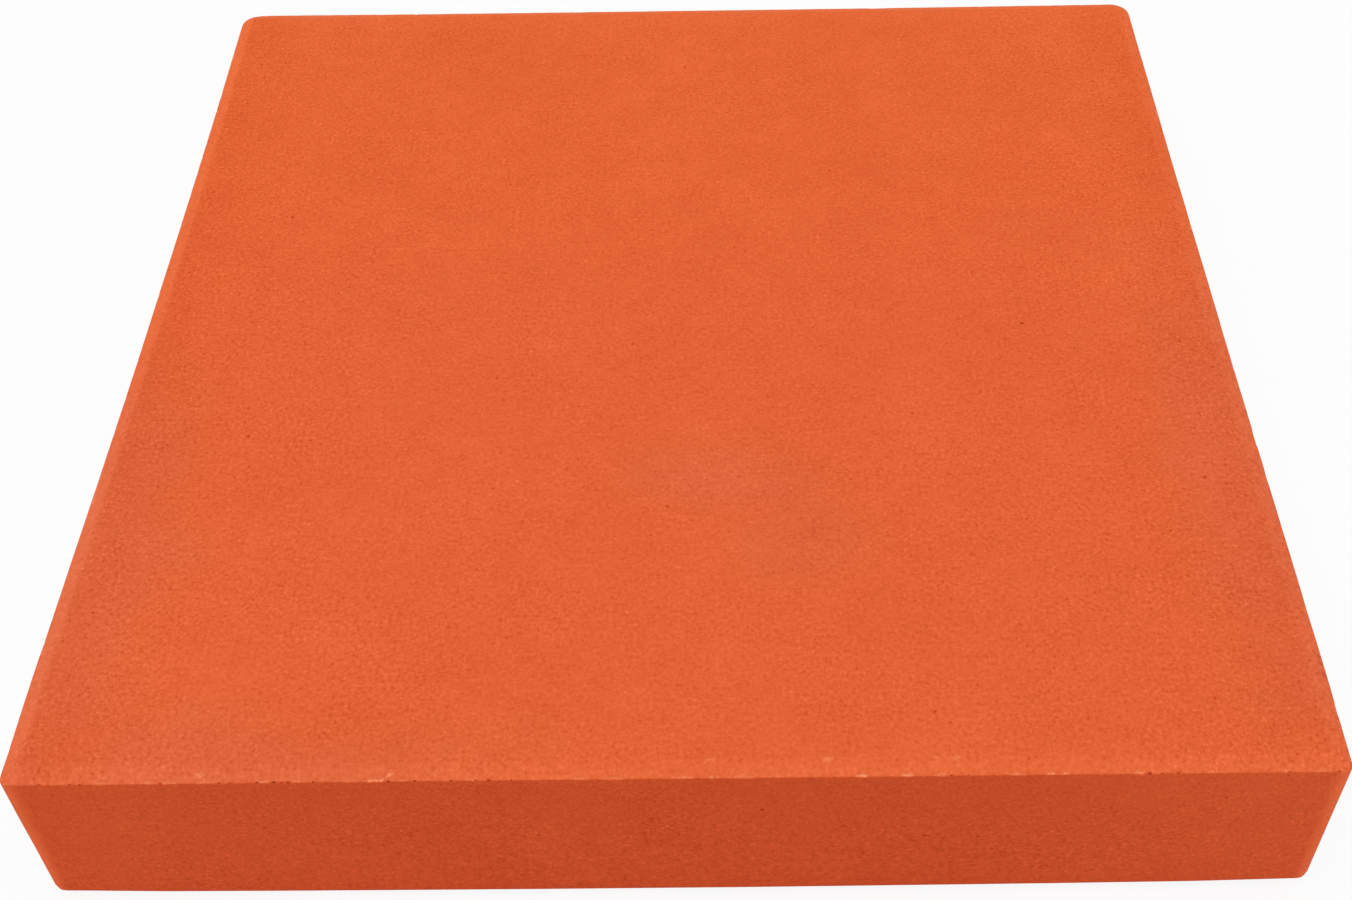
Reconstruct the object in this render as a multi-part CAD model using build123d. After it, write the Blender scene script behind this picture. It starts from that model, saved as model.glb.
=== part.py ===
from build123d import *
import os

# Terracotta floor tile: one square slab of pressed and fired clay, lying on its bed.
# Millimetres, +Z up, origin at the middle of the bed.

# Overall size, as fired
side = 298.0
thickness = 52.0

# Wear face: a shallow bevel runs all the way round it
bevel_width = 3.9
bevel_drop = 1.4

# Bed: its four edges are rounded
bed_edge_radius = 6.0

# Upright corners: tight at the wear face, a little rounder at the bed
wear_corner_radius = 3.0
bed_corner_radius = 3.8


def pressed_slab():
    """The slab with its bevel and its rounded bed edges, but with sharp upright corners."""
    with BuildPart() as slab:
        with BuildSketch():
            Rectangle(side, side)
        extrude(amount=thickness)
        wear_face = slab.faces().sort_by(Axis.Z)[-1]
        chamfer(wear_face.edges(), length=bevel_width, length2=bevel_drop, reference=wear_face)
        bed = slab.faces().sort_by(Axis.Z)[0]
        fillet(bed.edges(), radius=bed_edge_radius)
    return slab.part


def corner_envelope():
    """A plain square column with corners that grow rounder from the wear face to the bed."""
    with BuildPart() as column:
        with BuildSketch():
            RectangleRounded(side, side, bed_corner_radius)
        with BuildSketch(Plane.XY.offset(thickness)):
            RectangleRounded(side, side, wear_corner_radius)
        loft(ruled=True)
    return column.part


floor_tile = pressed_slab() & corner_envelope()

os.makedirs("parts", exist_ok=True)
export_step(floor_tile, "parts/floor_tile.step")
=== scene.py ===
# %% [markdown]
# # A terracotta floor tile
# The object is one thick square paver of unglazed fired clay, lying on a white ground.
# Its exact solid comes from CAD and is loaded as a fixed frame. This notebook gives it what
# pressing, drying, firing and handling leave behind: sides that are not quite straight, a worn
# and chipped arris, and a matt, mottled, grainy skin.
# An arris is the sharp edge where two faces of a tile or a brick meet.

# %% Load the CAD frame
import math

import bpy
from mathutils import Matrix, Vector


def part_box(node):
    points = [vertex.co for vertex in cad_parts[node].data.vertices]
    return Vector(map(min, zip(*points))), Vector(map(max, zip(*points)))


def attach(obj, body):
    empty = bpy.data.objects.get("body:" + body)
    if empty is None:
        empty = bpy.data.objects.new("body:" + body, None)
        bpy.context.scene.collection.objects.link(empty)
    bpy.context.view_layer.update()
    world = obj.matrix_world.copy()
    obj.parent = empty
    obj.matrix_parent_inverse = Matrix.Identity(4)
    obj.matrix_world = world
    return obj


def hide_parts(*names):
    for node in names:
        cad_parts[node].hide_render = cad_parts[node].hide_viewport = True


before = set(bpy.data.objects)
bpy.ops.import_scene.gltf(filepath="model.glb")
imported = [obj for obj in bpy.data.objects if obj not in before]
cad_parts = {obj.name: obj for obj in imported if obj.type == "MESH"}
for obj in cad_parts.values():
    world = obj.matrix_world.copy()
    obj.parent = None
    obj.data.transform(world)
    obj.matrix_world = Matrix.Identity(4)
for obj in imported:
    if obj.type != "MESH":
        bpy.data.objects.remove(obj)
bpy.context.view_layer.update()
tile_low, tile_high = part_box("floor_tile")
SIDE = tile_high.x - tile_low.x
THICKNESS = tile_high.z - tile_low.z
MM = 0.001
print(f"the solid is {SIDE / MM:.1f} mm square and {THICKNESS / MM:.1f} mm thick")

# %% [markdown]
# ## The camera
# The picture is taken from in front and well above, close enough for the near side to look much
# wider than the far one. A camera can be placed by eye, but a tile is a perfect ruler: its edges
# were fitted to the picture, which gave the lens, the place and the turn below.
# The picture was cropped a little off centre, and the two shift values repeat that crop.

# %% Place the camera
CAMERA_PLACE = (12.27 * MM, -364.81 * MM, 393.77 * MM)
CAMERA_TURN = (46.065, 0.763, -0.208)
SENSOR_WIDTH = 36.0
LENS = 47.891
CROP_SHIFT = (-0.02737, -0.08654)

camera_data = bpy.data.cameras.new("tile_camera")
camera_data.sensor_fit = "HORIZONTAL"
camera_data.sensor_width = SENSOR_WIDTH
camera_data.lens = LENS
camera_data.shift_x, camera_data.shift_y = CROP_SHIFT
camera = bpy.data.objects.new("tile_camera", camera_data)
camera.location = CAMERA_PLACE
camera.rotation_euler = [math.radians(angle) for angle in CAMERA_TURN]
bpy.context.scene.collection.objects.link(camera)
bpy.context.scene.camera = camera
print(f"camera with a {LENS:.1f} mm lens, {camera.location.length:.2f} m from the tile")

# %% [markdown]
# ## A bench for node trees
# Shape and finish below are node trees. In the editor each sum or product is one small Math node,
# and in code that soon takes a page. The two classes here let a rule be written as arithmetic:
# a Wire stands for a number that runs through the tree, and adding two wires adds a Math node.
# A Bench holds the tree and makes its nodes.

# %% Make the wires
class Wire:
    """One number on its way through a node tree. Arithmetic on it adds Math nodes."""

    def __init__(self, bench, socket):
        self.bench = bench
        self.socket = socket

    def math(self, operation, *others):
        """A Math node with this number first and the others after it."""
        node = self.bench.node("ShaderNodeMath", operation=operation)
        for place, value in enumerate((self, *others)):
            self.bench.plug(value, node.inputs[place])
        return Wire(self.bench, node.outputs[0])

    def __add__(self, other):
        return self.math("ADD", other)

    def __sub__(self, other):
        return self.math("SUBTRACT", other)

    def __mul__(self, other):
        return self.math("MULTIPLY", other)

    def __truediv__(self, other):
        return self.math("DIVIDE", other)

    def __neg__(self):
        return self.math("MULTIPLY", -1.0)

    def __rsub__(self, other):
        return (-self) + other

    __radd__ = __add__
    __rmul__ = __mul__

    def ramp(self, low, high, blend="SMOOTHSTEP"):
        """0 up to low, 1 from high on, and a blend in between."""
        inputs = {"Value": self, "From Min": low, "From Max": high}
        return self.bench.wire("ShaderNodeMapRange", inputs, interpolation_type=blend)


print("wires can be added, multiplied, divided and ramped")

# %% Make the bench
class Bench:
    """A node tree that is being put together."""

    def __init__(self, tree):
        self.tree = tree

    def plug(self, value, socket):
        """Links a wire or an output to a socket, or sets the socket to a plain value."""
        if isinstance(value, Wire):
            value = value.socket
        if isinstance(value, bpy.types.NodeSocket):
            self.tree.links.new(value, socket)
        else:
            socket.default_value = value

    def node(self, kind, inputs=None, **settings):
        """A new node with its settings made and its inputs plugged, each by its name."""
        node = self.tree.nodes.new(kind)
        for name, value in settings.items():
            setattr(node, name, value)
        for name, value in (inputs or {}).items():
            self.plug(value, next(s for s in node.inputs if s.enabled and s.name == name))
        return node

    def wire(self, kind, inputs=None, output=0, **settings):
        """The same, handing back one output as a wire."""
        return Wire(self, self.node(kind, inputs, **settings).outputs[output])

    def split(self, vector):
        """The three numbers of a vector."""
        node = self.node("ShaderNodeSeparateXYZ", {"Vector": vector})
        return [Wire(self, socket) for socket in node.outputs]

    def join(self, x, y, z):
        """Three numbers as a vector."""
        return self.wire("ShaderNodeCombineXYZ", {"X": x, "Y": y, "Z": z})

    def gather(self, *shapes):
        """Several shapes as one."""
        node = self.node("GeometryNodeJoinGeometry")
        for shape in shapes:
            self.plug(shape, node.inputs[0])
        return node.outputs[0]


print("the bench is ready")

# %% [markdown]
# ## The pressed slab
# One section runs all the way round the real tile: a soft crease at the wear face, a shallow bevel,
# the arris, an upright side and a rounded bed edge. A cube with Bevel modifiers has that outline
# too, but it puts no points along the edges, where the wear will need them.
# So Geometry Nodes take a flat sheet of rows and columns and bend it by a rule. The row says
# how far down the section a point is, and the column says how far round the tile.
# The sizes are those of the CAD solid. Only the crease and the arris get a small rounding of their
# own, and the near corners start out tighter, because the sides are eased in towards them later.

# %% Sizes of the slab
slab_sizes = {
    "Side": SIDE,
    "Thickness": THICKNESS,
    "Bevel Width": 3.9 * MM,
    "Bevel Drop": 1.4 * MM,
    "Crease Radius": 2.5 * MM,
    "Arris Radius": 0.45 * MM,
    "Bed Edge Radius": 6.0 * MM,
    "Wear Corner Radius": 2.0 * MM,
    "Far Corner Radius": 6.0 * MM,
    "Bed Corner Radius": 2.7 * MM,
    "Least Corner Radius": 0.7 * MM,
    "Columns On A Side": 600,
    "Wear Face Cells": 140,
    "Bed Cells": 32,
}
SECTION_ROWS = {"crease": 2, "bevel": 6, "arris": 4, "side": 11, "bed edge": 5}
ROW_COUNT = sum(SECTION_ROWS.values())
SIDES = 4
column_count = SIDES * slab_sizes["Columns On A Side"]
print(f"{ROW_COUNT} rows down the section, {column_count} columns round the tile")

# %% [markdown]
# A tree's sizes become named inputs, as on a node group that is made by hand. The sheet is a grid
# one metre square about the origin, and its two coordinates tell the row and the column.

# %% Start the slab tree
SOCKET_KINDS = {float: "NodeSocketFloat", int: "NodeSocketInt"}


def start_tree(tree_name, sizes):
    """A new tree with one named input for each size: its bench, its sockets and its inputs."""
    tree = bpy.data.node_groups.new(tree_name, "GeometryNodeTree")
    for direction in ("OUTPUT", "INPUT"):
        tree.interface.new_socket("Geometry", in_out=direction, socket_type="NodeSocketGeometry")
    sockets = {}
    for name, value in sizes.items():
        kind = SOCKET_KINDS.get(type(value), "NodeSocketObject")
        sockets[name] = tree.interface.new_socket(name, in_out="INPUT", socket_type=kind)
    bench = Bench(tree)
    return bench, sockets, bench.node("NodeGroupInput").outputs


slab, slab_sockets, slab_inputs = start_tree("pressed_slab", slab_sizes)
size = {name: Wire(slab, slab_inputs[name]) for name in slab_sizes}

columns = size["Columns On A Side"] * float(SIDES) + 1.0
sheet = slab.node("GeometryNodeMeshGrid", {"Vertices X": columns, "Vertices Y": ROW_COUNT + 1})
sheet_x, sheet_y, _ = slab.split(slab.node("GeometryNodeInputPosition").outputs[0])
row = (0.5 - sheet_y) * float(ROW_COUNT)
print(f"the sheet has {len(slab_sizes)} named sizes to bend by")

# %% [markdown]
# Each part of the section has its own share of the rows, and a number that runs from 0 to 1 over
# them. Every part then adds its own step outwards and downwards, as a pen would draw the section.
# A rounding is drawn by its heading: the angle below level at which the pen is moving.
# On the bevel and the side the rows crowd towards the arris, where the chips will be.

# %% Draw the section
UPRIGHT = math.pi / 2
BEVEL_CROWDING = 1.7
SIDE_CROWDING = 2.0


def between(low, high, share):
    """The number that lies a share of the way from low to high."""
    return low + share * (high - low)


progress = {}
first_row = 0
for part_name, part_rows in SECTION_ROWS.items():
    progress[part_name] = row.ramp(float(first_row), float(first_row + part_rows), "LINEAR")
    first_row += part_rows

slope = size["Bevel Drop"].math("ARCTAN2", size["Bevel Width"])
crease_cut = size["Crease Radius"] * (slope * 0.5).math("TANGENT")
arris_cut = size["Arris Radius"] * ((UPRIGHT - slope) * 0.5).math("TANGENT")
bevel_run = size["Bevel Width"] / slope.math("COSINE") - crease_cut - arris_cut
side_run = size["Thickness"] - size["Bevel Drop"] - arris_cut - size["Bed Edge Radius"]

crease_heading = progress["crease"] * slope
arris_heading = between(slope, UPRIGHT, progress["arris"])
bed_heading = between(UPRIGHT, math.pi, progress["bed edge"])
bevel_step = (1.0 - (1.0 - progress["bevel"]).math("POWER", BEVEL_CROWDING)) * bevel_run
side_step = progress["side"].math("POWER", SIDE_CROWDING) * side_run

crease_half = size["Side"] * 0.5 - size["Bevel Width"] - crease_cut
reach = (
    crease_half
    + size["Crease Radius"] * crease_heading.math("SINE")
    + bevel_step * slope.math("COSINE")
    + size["Arris Radius"] * (arris_heading.math("SINE") - slope.math("SINE"))
    + size["Bed Edge Radius"] * (bed_heading.math("SINE") - 1.0)
)
height = (
    size["Thickness"]
    - size["Crease Radius"] * (1.0 - crease_heading.math("COSINE"))
    - bevel_step * slope.math("SINE")
    - size["Arris Radius"] * (slope.math("COSINE") - arris_heading.math("COSINE"))
    - side_step
    + size["Bed Edge Radius"] * bed_heading.math("COSINE")
)
print("the section runs through", ", ".join(SECTION_ROWS))

# %% [markdown]
# Each row goes round a square with rounded corners. The corner is tight at the wear face and rounder
# at the bed, and it shrinks where the row lies further in. The two far corners have been knocked
# rounder than the near ones. The way round runs from 0 to 4, one for each side, and starts with the
# near side. On each side a column walks from the middle along the straight, and then round half a
# corner. A quarter turn for each side sends it to its place.

# %% Send the rows round the tile
FAR_SIDE_MIDDLE = 2.5
JOIN_GAP = 0.01 * MM

way_round = (sheet_x + 0.5) * float(SIDES)
far_half = (way_round - FAR_SIDE_MIDDLE).math("ABSOLUTE").math("LESS_THAN", 1.0)
wear_corner = between(size["Wear Corner Radius"], size["Far Corner Radius"], far_half)
corner = between(size["Bed Corner Radius"], wear_corner, height / size["Thickness"])
inset = size["Side"] * 0.5 - reach
corner = (corner - inset).math("MAXIMUM", size["Least Corner Radius"])

quarter_turns = way_round.math("FLOOR")
along_side = (way_round - quarter_turns) * 2.0 - 1.0
straight = reach - corner
walked = along_side.math("ABSOLUTE") * (straight + corner * (UPRIGHT / 2))
corner_turn = (walked - straight).math("MAXIMUM", 0.0) / corner
along = walked.math("MINIMUM", straight) + corner * corner_turn.math("SINE")
outward = straight + corner * corner_turn.math("COSINE")
near_side = slab.join(along * along_side.math("SIGN"), -outward, height)
turned = slab.node("ShaderNodeVectorRotate", {"Vector": near_side}, rotation_type="Z_AXIS")
slab.plug(quarter_turns * UPRIGHT, turned.inputs["Angle"])

row_kept = {"Geometry": sheet.outputs[0], "Name": "section_row", "Value": row}
marked = slab.node("GeometryNodeStoreNamedAttribute", row_kept).outputs[0]
bent = slab.node("GeometryNodeSetPosition", {"Geometry": marked, "Position": turned.outputs[0]})
closed = {"Geometry": bent.outputs[0], "Distance": JOIN_GAP}
band = slab.node("GeometryNodeMergeByDistance", closed).outputs[0]
print(f"the band closes on itself after {SIDES} quarter turns")

# %% [markdown]
# The band is open above and below. The wear face gets a grid of its own, coarser than the band,
# because nothing on it is as small as a chip. The ring left between a fine edge and a coarse grid is
# what Fill Curve is made for: it takes both outlines and lays triangles between them.

# %% Close the wear face and the bed
WEAR_RING = 1.4 * MM
BED_RING = 4.5 * MM


def outline_of(mesh, wanted=None):
    """The open edge of a mesh as a closed curve, where wanted is true."""
    neighbours = slab.wire("GeometryNodeInputMeshEdgeNeighbors")
    selection = neighbours.math("COMPARE", 1.0, 0.5)
    if wanted is not None:
        selection = selection * wanted
    return slab.node("GeometryNodeMeshToCurve", {"Mesh": mesh, "Selection": selection}).outputs[0]


def cover(ring_half, ring_wanted, cells, margin, level):
    """A flat grid with a ring of triangles round it, which closes the band at one level."""
    grid_size = (ring_half - margin) * 2.0
    corners = cells + 1.0
    grid = slab.node("GeometryNodeMeshGrid", {
        "Size X": grid_size, "Size Y": grid_size, "Vertices X": corners, "Vertices Y": corners,
    }).outputs[0]
    outlines = slab.gather(outline_of(band, ring_wanted), outline_of(grid))
    ring = slab.node("GeometryNodeFillCurve", {"Curve": outlines}, mode="TRIANGLES").outputs[0]
    lifted = {"Geometry": slab.gather(grid, ring), "Offset": slab.join(0.0, 0.0, level)}
    return slab.node("GeometryNodeSetPosition", lifted).outputs[0]


section_row = slab.wire("GeometryNodeInputNamedAttribute", {"Name": "section_row"})
on_first_row = section_row.math("LESS_THAN", 0.5)
on_last_row = section_row.math("GREATER_THAN", ROW_COUNT - 0.5)
bed_half = size["Side"] * 0.5 - size["Bed Edge Radius"]
wear_cover = cover(crease_half, on_first_row, size["Wear Face Cells"], WEAR_RING, size["Thickness"])
bed_cover = cover(bed_half, on_last_row, size["Bed Cells"], BED_RING, 0.0)
bed_down = slab.node("GeometryNodeFlipFaces", {"Mesh": bed_cover}).outputs[0]
print(f"covers with rings of {WEAR_RING / MM:.1f} and {BED_RING / MM:.1f} mm on wear face and bed")

# %% [markdown]
# Band and covers are welded into one skin. A tree hands out real geometry with its material on it,
# so that nothing is left to the object that it is put on.

# %% Finish the slab tree
fired_clay = bpy.data.materials.new("fired_clay")


def end_tree(bench, geometry, material):
    """Every tree here ends alike: instances made real, the material set, the result handed out."""
    real = bench.node("GeometryNodeRealizeInstances", {"Geometry": geometry}).outputs[0]
    clad = bench.node("GeometryNodeSetMaterial", {"Geometry": real, "Material": material})
    out = bench.node("NodeGroupOutput")
    bench.plug(clad.outputs[0], out.inputs[0])


welded = {"Geometry": slab.gather(band, wear_cover, bed_down), "Distance": JOIN_GAP}
whole = slab.node("GeometryNodeMergeByDistance", welded).outputs[0]
end_tree(slab, whole, fired_clay)
print(f"the slab tree has {len(slab.tree.nodes)} nodes")

# %% [markdown]
# ## Marks along the arris
# In the picture the near arris has a few pale slivers where the edge has flaked, and a row of small
# dark pits where grains have fallen out. They are what makes the edge look like clay and not like
# plastic. A few pale scuffs lie higher, on the bevel and along its crease.
# Those on the near side are placed one by one, from the left end, as points in a small helper mesh.
# Each carries its half length, its depth and how pale it looks, in millimetres and as a share.
# The pits are smaller than the mesh can show, so here they only dent the edge, and the finish paints
# their shade as dark spots later.

# %% Place the marks of the near side
# place along the arris, half length, depth, paleness
NEAR_CHIPS = [
    (-135.5, 3.0, 0.10, 0.11), (-126.1, 3.5, 0.14, 0.15), (-115.6, 1.2, 0.20, 0.45),
    (-112.2, 4.3, 0.28, 0.40), (-103.3, 2.6, 0.18, 0.23), (-90.6, 3.0, 0.22, 0.38),
    (-82.9, 2.4, 0.16, 0.23), (-71.5, 2.2, 0.18, 0.28), (-65.5, 3.2, 0.34, 1.00),
    (-59.9, 2.0, 0.20, 0.28), (-43.9, 2.2, 0.16, 0.23), (-20.4, 2.8, 0.18, 0.28),
    (-13.4, 3.6, 0.34, 0.28), (1.8, 3.0, 0.16, 0.28), (8.4, 2.0, 0.20, 0.38),
    (14.8, 3.0, 0.26, 0.26), (22.2, 2.2, 0.14, 0.19), (41.3, 1.7, 0.40, 1.00),
    (51.4, 1.6, 0.30, 0.80), (58.6, 1.5, 0.18, 0.38), (75.2, 2.0, 0.14, 0.23),
    (82.7, 1.4, 0.24, 0.55), (85.9, 1.3, 0.20, 0.48), (101.8, 1.9, 0.34, 0.52),
    (118.3, 2.0, 0.14, 0.19), (133.8, 1.4, 0.20, 0.42), (141.6, 2.2, 0.18, 0.28),
]
# place along the arris, radius, depth
NEAR_PITS = [
    (-139.5, 0.26, 0.15), (-132.8, 0.30, 0.20), (-130.5, 0.30, 0.18), (-112.9, 0.30, 0.25),
    (-99.9, 0.32, 0.22), (-97.6, 0.28, 0.20), (-91.6, 0.36, 0.28), (-87.8, 0.48, 0.38),
    (-86.2, 0.28, 0.20), (-84.8, 0.38, 0.30), (-79.2, 0.34, 0.30), (-62.7, 0.48, 0.36),
    (-56.9, 0.40, 0.34), (-49.0, 0.34, 0.28), (-43.6, 0.28, 0.20), (-40.7, 0.38, 0.30),
    (-35.7, 0.26, 0.15), (60.7, 0.36, 0.30), (64.3, 0.28, 0.22), (104.0, 0.48, 0.40),
    (106.7, 0.32, 0.26), (110.2, 0.34, 0.30), (134.7, 0.34, 0.28), (145.3, 0.36, 0.30),
]
# place along the arris, way in from it, half length, depth, paleness
NEAR_SCUFFS = [
    (-104.2, 1.6, 1.7, 0.04, 0.52), (-62.5, 1.4, 1.0, 0.04, 0.66), (8.2, 3.8, 1.6, 0.03, 0.28),
    (33.9, 3.8, 1.8, 0.03, 0.46), (57.6, 3.8, 1.2, 0.03, 0.28), (61.8, 3.8, 1.5, 0.03, 0.32),
]
print(f"{len(NEAR_CHIPS)} pale chips, {len(NEAR_PITS)} dark pits, {len(NEAR_SCUFFS)} scuffs")

# %% Make the marks a helper mesh
CHIP_WAY_IN = 0.20
DENT_PER_RADIUS = 1.4
MARK_TRAITS = {"mark_half_length": MM, "mark_depth": MM, "mark_tone": 1.0}


def on_near_bevel(along_arris, way_in):
    """A point on the near bevel, from its place along the arris and its way in from it."""
    bevel_share = way_in * MM / slab_sizes["Bevel Width"]
    height_there = THICKNESS - slab_sizes["Bevel Drop"] * (1.0 - bevel_share)
    return (along_arris * MM, way_in * MM - SIDE / 2, height_there)


near_marks = [(chip[0], CHIP_WAY_IN, *chip[1:]) for chip in NEAR_CHIPS]
for along_arris, radius, depth in NEAR_PITS:
    near_marks.append((along_arris, 0.0, radius * DENT_PER_RADIUS, depth, 0.0))
near_marks += NEAR_SCUFFS

marks_mesh = bpy.data.meshes.new("arris_marks")
marks_mesh.from_pydata([on_near_bevel(*one_mark[:2]) for one_mark in near_marks], [], [])
for column, (trait, unit) in enumerate(MARK_TRAITS.items(), start=2):
    values = marks_mesh.attributes.new(trait, "FLOAT", "POINT")
    values.data.foreach_set("value", [one_mark[column] * unit for one_mark in near_marks])
arris_marks = bpy.data.objects.new("arris_marks", marks_mesh)
bpy.context.scene.collection.objects.link(arris_marks)
print(f"the helper mesh has {len(marks_mesh.vertices)} points")

# %% [markdown]
# ## Drying, firing and handling
# Clay shrinks as it dries, faster at its edges, so the sides of a thick tile end up slightly hollow,
# and the weight of the slab pushes the foot of a side out a little. The picture shows both, by about
# a millimetre. Towards the two near corners the sides ease in by a third of a millimetre.
# Kiln and handling add soft unevenness on every face and a ragged arris.
# All of it is a second tree that moves the points of the slab. It could be sculpted, but a rule
# treats the hidden sides like the near one, and each amount stays a number that can be changed.

# %% Start the firing tree
firing_sizes = {
    "Side": SIDE,
    "Thickness": THICKNESS,
    "Bevel Drop": slab_sizes["Bevel Drop"],
    "Left Hollow": 1.18 * MM,
    "Right Hollow": 0.37 * MM,
    "Back Hollow": 0.43 * MM,
    "Near Belly": 0.64 * MM,
    "Near Corner Ease": 0.30 * MM,
    "Unevenness": 0.11 * MM,
    "Raggedness": 0.13 * MM,
    "Marks On A Side": 28.0,
    "Seed": 11,
    "Near Marks": arris_marks,
}
firing, firing_sockets, firing_inputs = start_tree("fired_and_handled", firing_sizes)
amount = {name: Wire(firing, firing_inputs[name]) for name in firing_sizes}
raw_slab = firing_inputs["Geometry"]
place = firing.node("GeometryNodeInputPosition").outputs[0]
x, y, z = firing.split(place)
print(f"{len(firing_sizes)} named amounts for firing and handling")

# %% [markdown]
# A hollow side is a bow: nothing at its two ends and most in its middle, which one minus a square
# gives. Each bow also fades towards the middle of the tile, so the wear face moves along with its
# edges and nothing folds. The belly of the near side grows towards its foot.

# %% Hollow the sides and push out the near foot
EASE_START = 0.80

half = amount["Side"] * 0.5
across = x / half
deep = y / half
to_left = (-across).math("MAXIMUM", 0.0)
to_right = across.math("MAXIMUM", 0.0)
to_near = (-deep).math("MAXIMUM", 0.0)
to_far = deep.math("MAXIMUM", 0.0)
foot = 1.0 - z / amount["Thickness"]

left_and_right = amount["Left Hollow"] * to_left - amount["Right Hollow"] * to_right
near_and_far = amount["Near Belly"] * foot * to_near + amount["Back Hollow"] * to_far
to_corner = across.math("ABSOLUTE").ramp(EASE_START, 1.0)
ease_x = across * to_near.ramp(EASE_START, 1.0) * amount["Near Corner Ease"]
ease_y = to_corner * to_near * foot * amount["Near Corner Ease"]
shift_x = (1.0 - deep * deep) * left_and_right - ease_x
shift_y = ease_y - (1.0 - across * across) * near_and_far
warp = firing.join(shift_x, shift_y, 0.0)
print("left, right and back sides go in, the near foot comes out")

# %% [markdown]
# The next amounts need to know how near a point is to an edge. The arris lies at half the side and
# just below the wear face, so its distance is one Pythagoras in the section. The upright corners are
# the same in plan. How far a face looks up tells wear face and sides apart.

# %% Measure the way to the edges
UP_FACING = (0.25, 0.75)


def slant(a, b):
    """The long side of a right-angled triangle, from its two short ones."""
    return (a * a + b * b).math("SQRT")


out_from_middle = x.math("ABSOLUTE").math("MAXIMUM", y.math("ABSOLUTE"))
above_arris = z - amount["Thickness"] + amount["Bevel Drop"]
from_arris = slant(half - out_from_middle, above_arris)
from_corner = slant(half - x.math("ABSOLUTE"), half - y.math("ABSOLUTE"))
facing = firing.node("GeometryNodeInputNormal").outputs[0]
_, _, facing_up = firing.split(facing)
wear_face = facing_up.ramp(*UP_FACING)
print("every point knows its way to the arris and to the nearest upright corner")

# %% [markdown]
# A pressed face is never quite flat: it has soft lumps of a few centimetres and smaller ones on
# them. The bed stays flat, because the tile dried on it. Along the arris the clay has crumbled
# away in short and long bites, and the near side has had more of that than the others.

# %% Uneven faces and a ragged arris
WIDE_LUMP, WIDE_WEIGHT = 38.0 * MM, 2.0
SMALL_LUMP, SMALL_WEIGHT = 9.0 * MM, 0.7
SHORT_BITE = 2.6 * MM
LONG_BITE, LONG_WEIGHT = 11.0 * MM, 0.8
BITE_REACH = (0.2 * MM, 2.2 * MM)
BED_REACH = (0.1 * MM, 6.0 * MM)
EDGE_REACH = (-8.0 * MM, -2.0 * MM)
OTHER_SIDES_RAG = 0.35


def clay_noise(bench, vector, grain, detail=2.0, roughness=0.5):
    """Noise about zero, whose lumps are about one grain across."""
    inputs = {"Vector": vector, "Scale": 1.0 / grain, "Detail": detail, "Roughness": roughness}
    return bench.wire("ShaderNodeTexNoise", inputs, noise_dimensions="3D") - 0.5


wide_lumps = clay_noise(firing, place, WIDE_LUMP) * WIDE_WEIGHT
lumps = wide_lumps + clay_noise(firing, place, SMALL_LUMP) * SMALL_WEIGHT
short_bites = clay_noise(firing, place, SHORT_BITE, detail=3.0, roughness=0.65)
bites = (short_bites + clay_noise(firing, place, LONG_BITE) * LONG_WEIGHT).math("ABSOLUTE") * 2.0
near_arris = 1.0 - from_arris.ramp(*BITE_REACH)
near_edge = (-y - half).ramp(*EDGE_REACH)
rag_share = near_arris * between(OTHER_SIDES_RAG, 1.0, near_edge)
face_swell = lumps * amount["Unevenness"] * z.ramp(*BED_REACH)
swell = face_swell - bites * rag_share * amount["Raggedness"]
print(f"lumps of {WIDE_LUMP / MM:.0f} and {SMALL_LUMP / MM:.0f} mm on the faces,",
      f"bites of {LONG_BITE / MM:.0f} and {SHORT_BITE / MM:.1f} mm along the arris")

# %% [markdown]
# The other three sides get marks of the same kind by chance: Distribute Points on Faces drops them
# on a thin band along the arris, with a fixed seed, so that every run gives the same tile.
# One random number makes a mark a chip or a pit, and another one sets its size, its depth and its tone.
# A tone above zero is pale, and one below zero is the painted shade of a pit.

# %% Drop marks on the other sides
BAND_WIDTH = 1.0 * MM
NEAR_STRIP = 2.0 * MM
KIND_SEED = 5
SIZE_SEED = 8
PIT_SHARE = 0.45
CHIP_HALF = (1.6 * MM, 5.0 * MM)
PIT_HALF = (0.6 * MM, 1.1 * MM)
CHANCE_DEPTH = (0.03 * MM, 0.13 * MM)
CHANCE_TONE = (0.15, 0.50)

other_sides = (y + half).math("GREATER_THAN", NEAR_STRIP)
scattered = firing.node("GeometryNodeDistributePointsOnFaces", {
    "Mesh": raw_slab,
    "Selection": from_arris.math("LESS_THAN", BAND_WIDTH / 2) * other_sides,
    "Density": amount["Marks On A Side"] / (amount["Side"] * BAND_WIDTH),
    "Seed": amount["Seed"],
}).outputs[0]
kind_chance, size_chance = (
    firing.wire("FunctionNodeRandomValue", {"Seed": seed}, output=1, data_type="FLOAT")
    for seed in (KIND_SEED, SIZE_SEED)
)
is_pit = kind_chance.math("LESS_THAN", PIT_SHARE)
chip_half = between(*CHIP_HALF, size_chance * size_chance)
traits = {
    "mark_half_length": between(chip_half, between(*PIT_HALF, size_chance), is_pit),
    "mark_depth": between(*CHANCE_DEPTH, size_chance),
    "mark_tone": between(*CHANCE_TONE, size_chance) * (1.0 - is_pit * 2.0),
}
for trait, value in traits.items():
    inputs = {"Geometry": scattered, "Name": trait, "Value": value}
    scattered = firing.node("GeometryNodeStoreNamedAttribute", inputs).outputs[0]
print("seed", firing_sizes["Seed"], "for the marks on the three other sides")
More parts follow.
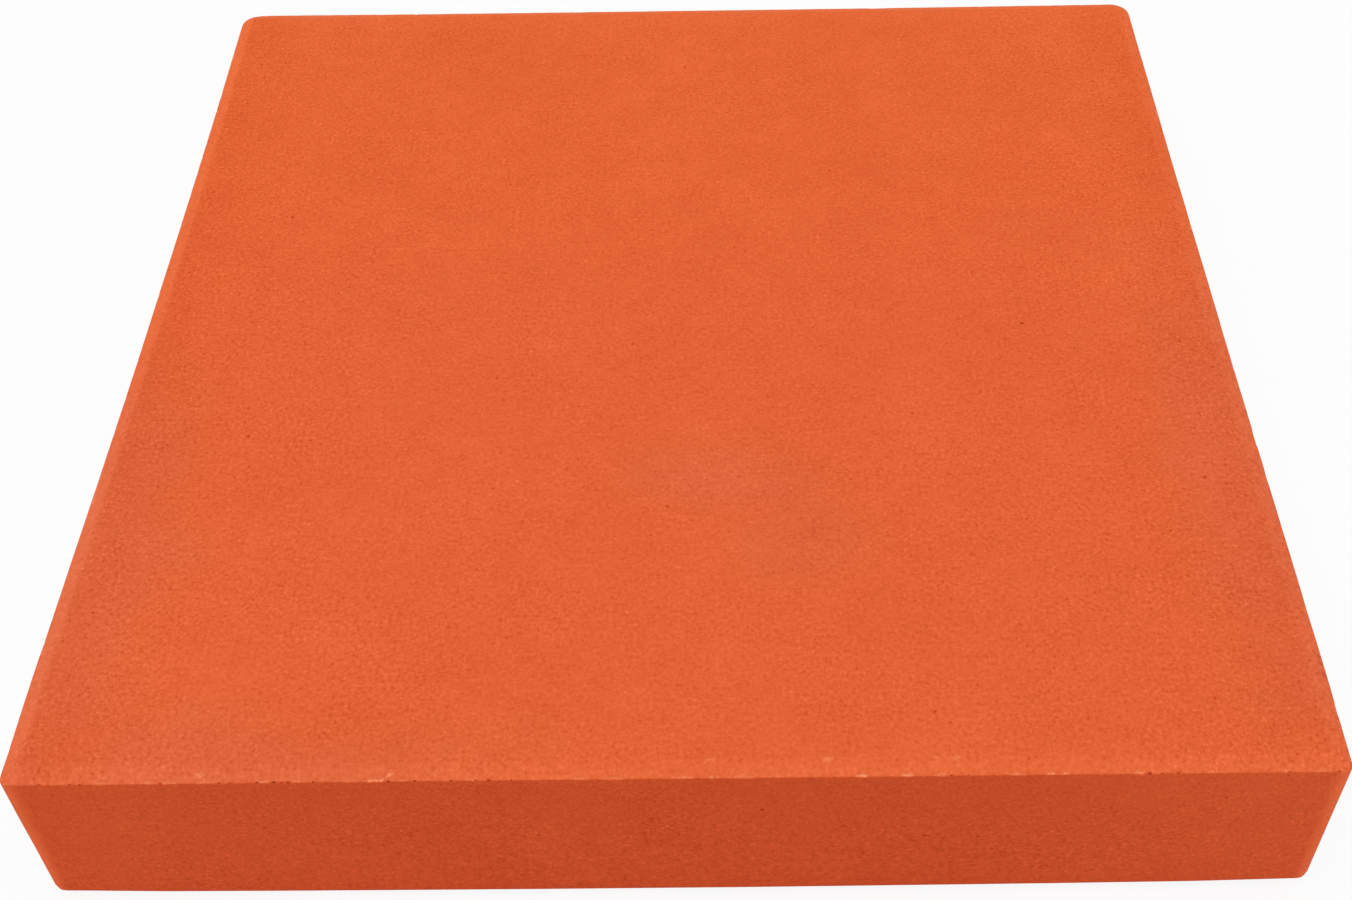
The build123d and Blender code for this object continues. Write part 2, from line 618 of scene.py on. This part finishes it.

# %% [markdown]
# Each point of the slab then looks up its nearest mark. Inside the mark's reach it sinks in, and it
# keeps two numbers for the finish later: how much pale fresh clay shows, and how much painted shade a
# pit gets.
# A mark is an ellipse that lies along its edge, and noise crumbles its outline.

# %% Find each point's nearest mark
near_object = firing.node("GeometryNodeObjectInfo", {"Object": amount["Near Marks"]})
near_mesh = {"Mesh": near_object.outputs["Geometry"]}
near_points = firing.node("GeometryNodeMeshToPoints", near_mesh).outputs[0]
all_marks = firing.gather(near_points, scattered)
looked_up = {"Geometry": all_marks, "Sample Position": place}
nearest = firing.node("GeometryNodeSampleNearest", looked_up).outputs[0]


def of_nearest_mark(value, kind):
    """What the nearest mark says about itself."""
    inputs = {"Geometry": all_marks, "Value": value, "Index": nearest}
    return firing.node("GeometryNodeSampleIndex", inputs, data_type=kind, domain="POINT").outputs[0]


mark = {}
for trait in MARK_TRAITS:
    told = firing.node("GeometryNodeInputNamedAttribute", {"Name": trait}).outputs[0]
    mark[trait] = Wire(firing, of_nearest_mark(told, "FLOAT"))
mark_x, mark_y, mark_z = firing.split(of_nearest_mark(place, "FLOAT_VECTOR"))
print("a point asks its nearest mark for", ", ".join(mark))

# %% Sink the marks in
MARK_HALF_WIDTH = 0.44 * MM
CRUMBLE_GRAIN, CRUMBLE_WEIGHT = 1.1 * MM, 1.9
MARK_FLOOR = 0.35

off_x, off_y, off_z = x - mark_x, y - mark_y, z - mark_z
on_left_or_right = mark_x.math("ABSOLUTE").math("GREATER_THAN", mark_y.math("ABSOLUTE"))
off_along = between(off_x, off_y, on_left_or_right)
off_squared = off_x * off_x + off_y * off_y + off_z * off_z
across_squared = (off_squared - off_along * off_along).math("MAXIMUM", 0.0)
half_width = mark["mark_half_length"].math("MINIMUM", MARK_HALF_WIDTH)
along_share = (off_along / mark["mark_half_length"]).math("POWER", 2.0)
mark_distance = (along_share + across_squared / (half_width * half_width)).math("SQRT")
crumble = clay_noise(firing, place, CRUMBLE_GRAIN, roughness=0.6) * CRUMBLE_WEIGHT
in_mark = 1.0 - (mark_distance + crumble).ramp(MARK_FLOOR, 1.0)
swell = swell - in_mark * mark["mark_depth"]
fresh_clay = in_mark * mark["mark_tone"].math("MAXIMUM", 0.0)
pit_shade = in_mark * (-mark["mark_tone"]).math("MAXIMUM", 0.0)
print("chips are up to", max(chip[1] for chip in NEAR_CHIPS) * 2, "mm long")

# %% [markdown]
# Stacking and handling rub the bevel paler. The rubbing ends at the crease, but on the near side it
# fades over the whole bevel, and on the far side a margin of the wear face is rubbed too. On top of
# this wear, each bevel gets painted light of its own, strongest at the far edge and the left one, as
# the light falls on them. The upright corners get a painted highlight where their rounding catches
# light from the sides. All of it is patchy. The result is one more number that the mesh keeps for the
# finish.

# %% Rub the edges and paint their light
BEVEL_FADE = (3.3 * MM, 4.6 * MM)
NEAR_FADE = (1.0 * MM, 5.6 * MM)
FAR_MARGIN, FAR_MARGIN_RUB = (-15.0 * MM, -5.0 * MM), 0.5
UPRIGHT_HIGHLIGHT_FADE, PAINTED_UPRIGHT_HIGHLIGHT = (1.5 * MM, 4.6 * MM), 4.2
RUB_PATCH, RUB_PATCHINESS = 6.0 * MM, 0.8
EVEN_RUB = 1.5
# The extra amount for each bevel is painted light: lighter where more light falls on that bevel.
PAINTED_BEVEL_LIGHT = {"left": 0.6, "right": -0.5, "near": -0.6, "far": 0.8}

fade = [between(*ends, near_edge) for ends in zip(BEVEL_FADE, NEAR_FADE)]
inside_bevel = from_arris.ramp(*fade)
bevel_rub_and_light = EVEN_RUB
for side_name, outwards in {"left": -x, "right": x, "near": -y, "far": y}.items():
    bevel_rub_and_light = bevel_rub_and_light + (outwards - half).ramp(*EDGE_REACH) * PAINTED_BEVEL_LIGHT[side_name]
bevel_wear_and_light = (1.0 - inside_bevel) * wear_face * bevel_rub_and_light
far_wear = (y - half).ramp(*FAR_MARGIN) * inside_bevel * wear_face * FAR_MARGIN_RUB
# Painted highlight on the rounded upright corners, where side light would catch them.
upright_highlight = (1.0 - from_corner.ramp(*UPRIGHT_HIGHLIGHT_FADE)) * (1.0 - wear_face) * PAINTED_UPRIGHT_HIGHLIGHT
patchy = clay_noise(firing, place, RUB_PATCH, roughness=0.6) * RUB_PATCHINESS + 1.0
edge_wear = (bevel_wear_and_light + far_wear + upright_highlight) * patchy.math("MAXIMUM", 0.0)
print("rubbed by", EVEN_RUB, "on every bevel, and more or less by", PAINTED_BEVEL_LIGHT)

# %% Keep what the finish needs and move the points
kept = {
    "wear_face": wear_face,
    "edge_wear": edge_wear,
    "fresh_clay": fresh_clay,
    "pit_shade": pit_shade,
}
fired = raw_slab
for name, value in kept.items():
    inputs = {"Geometry": fired, "Name": name, "Value": value}
    fired = firing.node("GeometryNodeStoreNamedAttribute", inputs).outputs[0]
swell_out = firing.node("ShaderNodeVectorMath", operation="SCALE")
firing.plug(facing, swell_out.inputs[0])
firing.plug(swell, swell_out.inputs["Scale"])
shift = firing.node("ShaderNodeVectorMath", operation="ADD")
firing.plug(warp, shift.inputs[0])
firing.plug(swell_out.outputs[0], shift.inputs[1])
moved = firing.node("GeometryNodeSetPosition", {"Geometry": fired, "Offset": shift.outputs[0]})
smooth = firing.node("GeometryNodeSetShadeSmooth", {"Geometry": moved.outputs[0]})
end_tree(firing, smooth.outputs[0], fired_clay)
print(f"the firing tree has {len(firing.tree.nodes)} nodes")

# %% [markdown]
# ## From trees to a plain mesh
# Both trees now go on one empty object, in order: first the slab, then the firing. A modifier keeps
# its inputs under the identifiers of the tree's sockets, so each size is set that way before
# anything is worked out.
# The result is then copied into a plain mesh, which rides and exports like any other.

# %% Press and fire the tile
def add_tree(piece, tree, sockets, sizes):
    """Puts a tree on a piece and sets its named inputs."""
    modifier = piece.modifiers.new(tree.name, "NODES")
    modifier.node_group = tree
    for name, value in sizes.items():
        modifier[sockets[name].identifier] = value


tile = bpy.data.objects.new("terracotta_tile", bpy.data.meshes.new("clay"))
bpy.context.scene.collection.objects.link(tile)
add_tree(tile, slab.tree, slab_sockets, slab_sizes)
add_tree(tile, firing.tree, firing_sockets, firing_sizes)
depsgraph = bpy.context.evaluated_depsgraph_get()
fired_mesh = bpy.data.meshes.new_from_object(
    tile.evaluated_get(depsgraph), preserve_all_data_layers=True, depsgraph=depsgraph)
tile.modifiers.clear()
tile.data = fired_mesh
fired_mesh.name = "terracotta_tile"
fired_mesh.attributes.remove(fired_mesh.attributes["section_row"])
bpy.data.objects.remove(arris_marks)

triangles = sum(len(face.vertices) - 2 for face in fired_mesh.polygons)
skin_sum = len(fired_mesh.vertices) - len(fired_mesh.edges) + len(fired_mesh.polygons)
print(f"{triangles} triangles; points less edges plus faces is {skin_sum}, and 2 means one closed skin")
print("the mesh carries", ", ".join(sorted(kept)))

# %% [markdown]
# ## The fired clay
# Unglazed terracotta scatters light and hardly mirrors it, so most of the finish is colour. It is
# built up in the order in which the real one came about: the body colour, the soft blooms that the
# kiln left, the grain of the clay with its pits and specks, and last the wear.
# Everything reads Object coordinates or the numbers kept in the mesh, so it stays put from every
# side.

# %% Body colour
WEAR_CLAY = (0.738, 0.1188, 0.0334, 1.0)
SIDE_CLAY = (0.724, 0.0933, 0.0220, 1.0)

fired_clay.use_nodes = True
fired_clay.node_tree.nodes.clear()
clay = Bench(fired_clay.node_tree)
spot = clay.node("ShaderNodeTexCoord").outputs["Object"]
spot_x, spot_y, spot_z = clay.split(spot)


def kept_number(name):
    """One of the numbers that the firing tree kept in the mesh."""
    return clay.wire("ShaderNodeAttribute", output="Fac", attribute_name=name)


def blend(share, under, over, blend_type="MIX"):
    """Two colours, blended by a share."""
    node = clay.node("ShaderNodeMix", data_type="RGBA", blend_type=blend_type)
    clay.plug(share, node.inputs[0])
    clay.plug(under, node.inputs[6])
    clay.plug(over, node.inputs[7])
    return node.outputs[2]


on_wear_face = kept_number("wear_face")
on_sides = 1.0 - on_wear_face
colour = blend(on_wear_face, SIDE_CLAY, WEAR_CLAY)
print("wear face", WEAR_CLAY[:3], "and sides", SIDE_CLAY[:3])

# %% [markdown]
# The wear face is not one colour. Towards its far edge it is a little warmer, and pale, slightly pink
# bloom lies along the left and right edges, at the near left and in one patch before the middle.
# Each patch is a soft oval, and noise bends its outline so that it doesn't read as an oval.

# %% Kiln bloom
BLOOM = (0.965, 1.035, 1.26, 1.0)
WARM = (1.045, 1.075, 0.985, 1.0)
# middle in x and y, half width in x and y, strength
BLOOM_PATCHES = [
    (-146.0, -92.0, 26.0, 80.0, 1.00), (148.0, -60.0, 26.0, 96.0, 0.95),
    (-98.0, -147.0, 66.0, 17.0, 0.80), (14.0, -62.0, 26.0, 15.0, 0.75),
    (32.0, -82.0, 22.0, 16.0, 0.60),
]
WOBBLE_SIZE, WOBBLE_WEIGHT = 24.0 * MM, 1.5
PATCH_FADE = (0.35, 1.15)
WARM_FADE, WARM_WOBBLE = (-120.0 * MM, 130.0 * MM), 40.0 * MM

wobble = clay_noise(clay, spot, WOBBLE_SIZE, detail=3.0, roughness=0.6) * WOBBLE_WEIGHT
bloom = None
for middle_x, middle_y, half_x, half_y, strength in BLOOM_PATCHES:
    patch_x = (spot_x - middle_x * MM) / (half_x * MM)
    patch_y = (spot_y - middle_y * MM) / (half_y * MM)
    patch = (1.0 - (slant(patch_x, patch_y) + wobble).ramp(*PATCH_FADE)) * strength
    bloom = patch if bloom is None else bloom.math("MAXIMUM", patch)
colour = blend(bloom * on_wear_face, colour, blend(1.0, colour, BLOOM, "MULTIPLY"))
warm = (spot_y + wobble * WARM_WOBBLE).ramp(*WARM_FADE)
colour = blend(warm, colour, blend(1.0, colour, WARM, "MULTIPLY"))
print(f"{len(BLOOM_PATCHES)} patches of bloom, and warmer towards the far edge")

# %% [markdown]
# The sides get painted light. Towards the upright corners they are a little lighter than in the middle,
# most at the right end of the near side, and the middle gets a painted shade. The smaller of the two
# distances from the middle tells how far along its side a point lies, whichever side it is on. The
# amounts are in steps of lightness, which are turned into colour together with the grain.

# %% Painted light at the ends of the sides
SIDE_ENDS = (40.0 * MM, 149.0 * MM)
RIGHT_END = (70.0 * MM, 140.0 * MM)
NEAR_END = (100.0 * MM, 140.0 * MM)
END_LIGHT_STEPS = 3.5
MIDDLE_SHADE_STEPS = -1.6

along_its_side = spot_x.math("ABSOLUTE").math("MINIMUM", spot_y.math("ABSOLUTE"))
near_right_lit_end = spot_x.ramp(*RIGHT_END) * (-spot_y).ramp(*NEAR_END)
lit_ends = along_its_side.ramp(*SIDE_ENDS) * END_LIGHT_STEPS + near_right_lit_end * END_LIGHT_STEPS
side_light_steps = (lit_ends + MIDDLE_SHADE_STEPS) * on_sides
print(f"sides from {MIDDLE_SHADE_STEPS} steps in the middle to {2 * END_LIGHT_STEPS + MIDDLE_SHADE_STEPS:.1f} at one end")

# %% [markdown]
# The grain is a fine unevenness in how light the clay is. In the picture it changes red, green and
# blue by the same step, which on an orange ground lifts blue most and red least. GREY_STEP says by
# which share each channel grows for one such step, so a single number of steps tints the clay
# correctly.
# The grain is rougher in some patches than in others, most of all towards the left and right edges,
# and a few grains stand out more than noise alone would let them. Their own square makes the tails
# longer. Where the bevel has been rubbed, the grain is smoother.

# %% Lighten by steps
GREY_STEP = (0.010, 0.021, 0.034)


def lighten(under, steps, one_step=GREY_STEP):
    """The colour made lighter or darker by a number of steps."""
    share = clay.node("ShaderNodeVectorMath", operation="MULTIPLY_ADD")
    clay.plug(clay.join(steps, steps, steps), share.inputs[0])
    clay.plug(one_step, share.inputs[1])
    clay.plug((1.0, 1.0, 1.0), share.inputs[2])
    tinted = clay.node("ShaderNodeVectorMath", operation="MULTIPLY")
    clay.plug(under, tinted.inputs[0])
    clay.plug(share.outputs[0], tinted.inputs[1])
    return tinted.outputs[0]


print("one step lifts red, green and blue by the shares", GREY_STEP)

# %% Grain of the clay
FINE_GRAIN, FINE_STEPS = 1.0 * MM, 50.0
COARSE_GRAIN, COARSE_STEPS = 4.5 * MM, 13.0
CLOUD, CLOUD_STEPS = 36.0 * MM, 12.0
ROUGH_PATCH, ROUGH_CONTRAST, ROUGH_SHARE = 22.0 * MM, 2.2, 0.3
ROUGH_ENDS, ROUGH_AT_ENDS = (60.0 * MM, 140.0 * MM), 0.5
SMOOTH_TO_ROUGH = (0.75, 1.25)
PLAIN_PART, TAIL_PART = 0.75, 9.0
MOST_RUB, SMOOTHED_BY_RUB = 2.0, 0.22

fine_grain = clay_noise(clay, spot, FINE_GRAIN, detail=1.0, roughness=0.8)
coarse_grain = clay_noise(clay, spot, COARSE_GRAIN, detail=1.0, roughness=1.0)
clouds = clay_noise(clay, spot, CLOUD, roughness=0.8)
to_left_or_right = spot_x.math("ABSOLUTE").ramp(*ROUGH_ENDS) * on_wear_face
rough_noise = clay_noise(clay, spot, ROUGH_PATCH, roughness=0.6) * ROUGH_CONTRAST
rough = rough_noise + to_left_or_right * ROUGH_AT_ENDS + ROUGH_SHARE
rough_patch = rough.ramp(0.0, 1.0, "LINEAR")
long_tails = fine_grain * (fine_grain * fine_grain * TAIL_PART + PLAIN_PART)
patchy_grain = long_tails * between(*SMOOTH_TO_ROUGH, rough_patch)
grain_steps = patchy_grain * FINE_STEPS + coarse_grain * COARSE_STEPS + clouds * CLOUD_STEPS
rubbed_smooth = 1.0 - kept_number("edge_wear").math("MINIMUM", MOST_RUB) * SMOOTHED_BY_RUB
# The painted light and shade of the sides is added here along with the grain.
colour = lighten(colour, grain_steps * rubbed_smooth + side_light_steps)
print(f"grain of {FINE_GRAIN / MM:.1f} and {COARSE_GRAIN / MM:.1f} mm, clouds of {CLOUD / MM:.0f} mm")

# %% [markdown]
# Between the grains lie small open pits, and their shade is painted as dark dots. Here and there a pale
# crumb of lime or grog shows, less on the sides. Voronoi cells give one feature point to each cell. A
# random number per cell lets only a few of them through.

# %% Pits and pale specks
# width of a cell, share of cells with a dot, radius of a dot
SMALL_PITS = (2.6 * MM, 0.30, 0.42 * MM)
DEEP_PITS = (9.5 * MM, 0.40, 0.45 * MM)
CRUMBS = (7.0 * MM, 0.22, 0.50 * MM)
SMALL_TO_BIG = (0.5, 1.3)
DOT_CORE = 0.55
PIT_STEPS, DEEP_PIT_STEPS, CRUMB_STEPS = 15.0, 20.0, 14.0
SIDE_CRUMBS = 0.5


def specks(cell, share, radius):
    """Dots of about one radius, in a share of cells of one width."""
    cells = clay.node("ShaderNodeTexVoronoi", {"Vector": spot, "Scale": 1.0 / cell}, feature="F1")
    distance = Wire(clay, cells.outputs["Distance"]) * cell
    chance, bigness, _ = clay.split(cells.outputs["Color"])
    dot_radius = between(*SMALL_TO_BIG, bigness) * radius
    return (1.0 - (distance / dot_radius).ramp(DOT_CORE, 1.0)) * chance.math("LESS_THAN", share)


pits = specks(*SMALL_PITS)
crumbs = specks(*CRUMBS) * between(SIDE_CRUMBS, 1.0, on_wear_face)
# The dark dots of the pits are painted shade.
pit_steps = pits * rough_patch * PIT_STEPS + specks(*DEEP_PITS) * DEEP_PIT_STEPS
colour = lighten(colour, crumbs * CRUMB_STEPS - pit_steps)
print("shares of cells with a pit, a deep pit, a crumb:", SMALL_PITS[1], DEEP_PITS[1], CRUMBS[1])

# %% [markdown]
# A dozen larger pits on the wear face and eight on the near side stand out in the picture, so they are
# placed one by one. On its own face each is a round spot of painted shade, and it takes three nodes:
# the distance to its middle, a ramp over that distance, and the smaller of this ramp and those before
# it.

# %% Single pits
# place in x and y on the wear face, then radius
WEAR_FACE_PITS = [
    (60.9, -41.1, 0.55), (-114.9, 41.4, 0.70), (-2.6, -71.9, 0.55), (-48.9, -26.4, 0.50),
    (-111.9, -46.6, 0.75), (132.6, -64.4, 0.70), (44.4, 59.9, 0.65), (-12.9, -13.9, 0.55),
    (-25.6, -55.9, 0.45), (93.9, -7.6, 0.70), (113.6, -46.9, 0.45), (-138.4, -103.1, 0.50),
]
# place in x and z on the near side, then radius
NEAR_SIDE_PITS = [
    (19.4, 37.9, 0.65), (-93.1, 32.4, 0.60), (68.6, 25.6, 0.55), (122.4, 40.6, 0.55),
    (-42.6, 31.6, 0.45), (75.4, 25.9, 0.45), (134.4, 49.5, 0.45), (30.1, 49.9, 0.36),
]
PIT_FLOOR = 0.35
SINGLE_PIT_STEPS = -26.0
NEAR_SIDE_BEFORE = -140.0 * MM


def single_pits(across_face, along_face, pit_list):
    """The shade of round pits at their places on one face."""
    face_spot = clay.join(across_face, along_face, 0.0)
    clear = None
    for pit_across, pit_along, radius in pit_list:
        way = clay.node("ShaderNodeVectorMath", operation="DISTANCE")
        clay.plug(face_spot, way.inputs[0])
        clay.plug((pit_across * MM, pit_along * MM, 0.0), way.inputs[1])
        outside = Wire(clay, way.outputs["Value"]).ramp(radius * PIT_FLOOR * MM, radius * MM)
        clear = outside if clear is None else clear.math("MINIMUM", outside)
    return 1.0 - clear


on_near_side = spot_y.math("LESS_THAN", NEAR_SIDE_BEFORE) * on_sides
wear_face_pits = single_pits(spot_x, spot_y, WEAR_FACE_PITS) * on_wear_face
near_side_pits = single_pits(spot_x, spot_z, NEAR_SIDE_PITS) * on_near_side
placed_pits = wear_face_pits + near_side_pits
# Painted shade in the placed pits.
colour = lighten(colour, placed_pits * SINGLE_PIT_STEPS)
print(f"{len(WEAR_FACE_PITS)} pits on the wear face and {len(NEAR_SIDE_PITS)} on the near side")

# %% [markdown]
# Inside the crease of the left and right bevels, the wear face has a faint painted shade: a darker
# margin that fades inwards. It follows the hollow of its side, so its place is worked out with the same
# bow as the hollow itself.

# %% Painted shade inside the creases
CREASE_SHADE_START = (4.0 * MM, 4.7 * MM)
CREASE_SHADE_END = (5.2 * MM, 24.0 * MM)
CREASE_SHADE_STEPS = -2.4

half_side = SIDE / 2
bow = 1.0 - (spot_y / half_side).math("POWER", 2.0)
from_left = half_side + spot_x - bow * firing_sizes["Left Hollow"]
from_right = half_side - spot_x - bow * firing_sizes["Right Hollow"]
way_in = from_left.math("MINIMUM", from_right)
crease_shade = way_in.ramp(*CREASE_SHADE_START) - way_in.ramp(*CREASE_SHADE_END)
# Painted shade along the inside of the creases.
colour = lighten(colour, crease_shade * on_wear_face * CREASE_SHADE_STEPS)
print(f"margins of {CREASE_SHADE_STEPS} steps inside the left and right creases")

# %% [markdown]
# Handling rubs the skin off the edges, and the clay under it is paler. The mesh says where. Along the
# bevel it is a gentle lightening, partly wear and partly painted light. Along the upright corners it is
# a painted highlight. In the chips it is bare pale clay, and in the pits the colour goes dark with
# painted shade. Noise finer than the mesh breaks the chips up into crumbs. The pits of the near arris
# are round spots of painted shade again. Their second coordinate is y plus z: it grows from the side
# over the edge to the bevel, so a spot wraps round the edge.

# %% Wear, painted light, chips and pits of the arris
FRESH_CLAY = (1.0, 0.37, 0.175, 1.0)
PAINTED_PIT_SHADE = (0.24, 0.012, 0.002, 1.0)
RUB_AND_LIGHT_STEP = (0.008, 0.021, 0.034)
RUB_AND_LIGHT_STEPS = 6.0
CHIP_CRUMB, CHIP_CONTRAST, CHIP_SHARE = 0.45 * MM, 4.6, 0.85
SPOT_PER_RADIUS = 1.15
ARRIS_PIT_SHADE = 0.68

# Rubbed edges turn paler here, with painted light on the bevels and a painted highlight on the upright
# corners.
colour = lighten(colour, kept_number("edge_wear") * RUB_AND_LIGHT_STEPS, RUB_AND_LIGHT_STEP)
crumbly = clay_noise(clay, spot, CHIP_CRUMB, roughness=0.7) * CHIP_CONTRAST + CHIP_SHARE
colour = blend(kept_number("fresh_clay") * crumbly, colour, FRESH_CLAY)
over_the_arris = spot_y + spot_z + (half_side - THICKNESS + slab_sizes["Bevel Drop"])
arris_spots = [(pit[0], 0.0, pit[1] * SPOT_PER_RADIUS) for pit in NEAR_PITS]
arris_pits = single_pits(spot_x, over_the_arris, arris_spots) * ARRIS_PIT_SHADE
# Painted shade in the pits of the arris and of the other sides.
colour = blend(kept_number("pit_shade").math("MAXIMUM", arris_pits), colour, PAINTED_PIT_SHADE)
print(f"rubbed edges are lighter by {RUB_AND_LIGHT_STEPS:.0f} steps for each unit of wear")

# %% [markdown]
# The surface itself is dry and matt. A little change in roughness keeps it from looking like paper,
# and a fine bump gives the grain something to catch the light with. The shapes that can be seen are
# in the mesh already.

# %% Matt skin
FINE_HEIGHT, COARSE_HEIGHT, PIT_HEIGHT, SINGLE_PIT_HEIGHT = 0.6, 0.8, -0.5, -2.0
BUMP_STRENGTH, BUMP_DISTANCE = 0.12, 0.12 * MM
ROUGHNESS, ROUGHNESS_CHANGE = 0.86, 0.16
GLOSS = 0.10

grain_height = fine_grain * FINE_HEIGHT + coarse_grain * COARSE_HEIGHT
skin_height = grain_height + pits * PIT_HEIGHT + placed_pits * SINGLE_PIT_HEIGHT
skin = clay.node("ShaderNodeBump", {
    "Height": skin_height,
    "Strength": BUMP_STRENGTH,
    "Distance": BUMP_DISTANCE,
})
shader = clay.node("ShaderNodeBsdfPrincipled", {
    "Base Color": colour,
    "Roughness": coarse_grain * ROUGHNESS_CHANGE + ROUGHNESS,
    "Specular IOR Level": GLOSS,
    "Normal": skin.outputs[0],
})
output = clay.node("ShaderNodeOutputMaterial")
clay.plug(shader.outputs[0], output.inputs["Surface"])
print(f"the clay has {len(clay.tree.nodes)} nodes")

# %% [markdown]
# ## Ground and light
# The tile lies on a white ground without a horizon. The ground is a plain pale sheet. The camera sees
# it mostly as plain white, and a share of its true shading is left in, so that the tile keeps its
# soft shadow.

# %% Lay the ground
GROUND_REACH = 4.0
CORNER_SIGNS = ((-1, -1), (1, -1), (1, 1), (-1, 1))
WHITE = (1.0, 1.0, 1.0, 1.0)
GROUND_GREY = (0.86, 0.86, 0.86, 1.0)
PLAIN_WHITE_SHARE = 0.90

ground_mesh = bpy.data.meshes.new("ground")
ground_corners = [(sign_x * GROUND_REACH, sign_y * GROUND_REACH, 0) for sign_x, sign_y in CORNER_SIGNS]
ground_mesh.from_pydata(ground_corners, [], [(0, 1, 2, 3)])
ground = bpy.data.objects.new("ground", ground_mesh)
bpy.context.scene.collection.objects.link(ground)

paper = bpy.data.materials.new("white_ground")
paper.use_nodes = True
paper.node_tree.nodes.clear()
paper_bench = Bench(paper.node_tree)
seen = paper_bench.wire("ShaderNodeLightPath", output="Is Camera Ray")
lit = paper_bench.node("ShaderNodeBsdfDiffuse", {"Color": GROUND_GREY})
plain = paper_bench.node("ShaderNodeEmission", {"Color": WHITE, "Strength": 1.0})
ground_mix = paper_bench.node("ShaderNodeMixShader")
paper_bench.plug(seen * PLAIN_WHITE_SHARE, ground_mix.inputs[0])
paper_bench.plug(lit.outputs[0], ground_mix.inputs[1])
paper_bench.plug(plain.outputs[0], ground_mix.inputs[2])
ground_out = paper_bench.node("ShaderNodeOutputMaterial")
paper_bench.plug(ground_mix.outputs[0], ground_out.inputs["Surface"])
ground_mesh.materials.append(paper)
print(f"a white ground of {2 * GROUND_REACH:.0f} m")

# %% [markdown]
# The light is that of a small photo studio: one large soft lamp overhead, a little to the left, and
# an even white room round it. Together they are set so that a level surface shows its colour about
# as it was written. Seen directly or in a mirror, the room is plain white. As a light it is weaker.

# %% Light the tile
ROOM_LIGHT = 0.32
LAMP_POWER = 70.0
LAMP_SIZE = 2.6
LAMP_PLACE = (-0.10, -0.55, 2.8)

lamp_data = bpy.data.lights.new("soft_lamp", "AREA")
lamp_data.shape = "SQUARE"
lamp_data.size = LAMP_SIZE
lamp_data.energy = LAMP_POWER
lamp = bpy.data.objects.new("soft_lamp", lamp_data)
lamp.location = LAMP_PLACE
lamp.rotation_euler = (-lamp.location).to_track_quat("-Z", "Y").to_euler()
bpy.context.scene.collection.objects.link(lamp)

room = bpy.data.worlds.new("white_room")
room.use_nodes = True
room.node_tree.nodes.clear()
room_bench = Bench(room.node_tree)
rays = room_bench.node("ShaderNodeLightPath").outputs
by_camera, by_mirror, by_glass = (
    Wire(room_bench, rays[f"Is {kind} Ray"]) for kind in ("Camera", "Glossy", "Transmission")
)
shown_white = by_camera.math("MAXIMUM", by_mirror).math("MAXIMUM", by_glass)
air = room_bench.node("ShaderNodeBackground", {"Color": WHITE})
room_bench.plug(between(ROOM_LIGHT, 1.0, shown_white), air.inputs["Strength"])
room_out = room_bench.node("ShaderNodeOutputWorld")
room_bench.plug(air.outputs[0], room_out.inputs["Surface"])
bpy.context.scene.world = room
bpy.context.scene.view_settings.view_transform = "Standard"
print(f"lamp of {LAMP_POWER:.0f} W, room light {ROOM_LIGHT}")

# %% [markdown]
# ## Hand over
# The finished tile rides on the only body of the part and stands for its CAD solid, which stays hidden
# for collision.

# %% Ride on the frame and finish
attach(tile, "root")
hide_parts("floor_tile")
